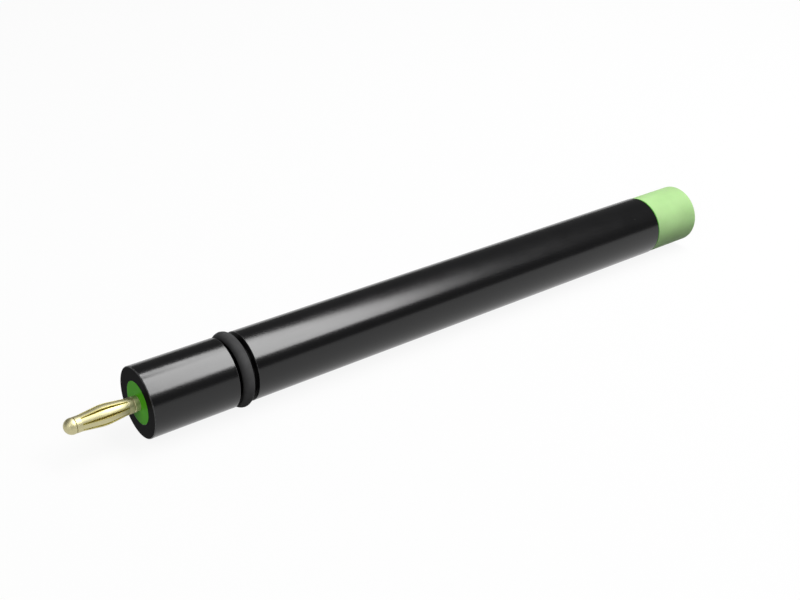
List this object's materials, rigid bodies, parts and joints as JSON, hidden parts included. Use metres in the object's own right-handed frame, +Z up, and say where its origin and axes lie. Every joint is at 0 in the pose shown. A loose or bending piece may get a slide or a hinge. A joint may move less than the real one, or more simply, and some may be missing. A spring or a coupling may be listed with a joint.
{
  "type": "nitrate sensor probe",
  "caption": "Slim round plug-in nitrate probe: dark barrel with a sealing ring near the rear, a coloured sensing tip, and a bowed spring plug in the rear face.",
  "frame": {"origin": "centre of the barrel's flat rear face, where the lantern plug stands out", "axes": "+X along the probe towards the sensing tip, -X along the plug, +Z up with the probe lying level"},
  "size_m": [0.1862, 0.0174, 0.0174],
  "materials": {
    "barrel_plastic": "turned and polished black engineering plastic",
    "tip_plastic": "turned light green engineering plastic, satin",
    "insulator_plastic": "deep leaf-green engineering plastic, faced flush with the rear face",
    "gold_contact": "pale gold plating on turned and rolled brass",
    "seal_rubber": "matt black moulded rubber",
    "membrane": "soft translucent plasticised membrane",
    "gel": "clear electrolyte gel",
    "silver": "silver wire, dull grey where chlorided",
    "stopper_rubber": "moulded silicone rubber",
    "copper": "bare copper",
    "lead_plastic": "extruded insulation",
    "tinned_copper": "tinned copper",
    "sleeve_plastic": "shrunk sleeving",
    "solder": "tin solder",
    "potting_resin": "cast potting resin"
  },
  "bodies": {
    "probe": {"barrel": "barrel_plastic", "sensing_tip": "tip_plastic", "rear_insulator": "insulator_plastic", "contact_pin": "gold_contact", "body_seal_ring": "seal_rubber", "tip_seal_ring": "seal_rubber", "sensing_membrane": "membrane", "filling_gel": "gel", "silver_wire": "silver", "inner_stopper": "stopper_rubber", "lead_conductor": "copper", "lead_insulation": "lead_plastic", "splice_ferrule": "tinned_copper", "splice_sleeve": "sleeve_plastic", "solder_joint": "solder", "rear_potting": "potting_resin"},
    "cage": {"lantern_cage": "gold_contact"}
  },
  "joints": [
    {"name": "cage_spin", "type": "hinge", "parent": "probe", "child": "cage", "pos_m": [-0.00767, 0, 0], "axis": [1, 0, 0], "continuous": true}
  ]
}
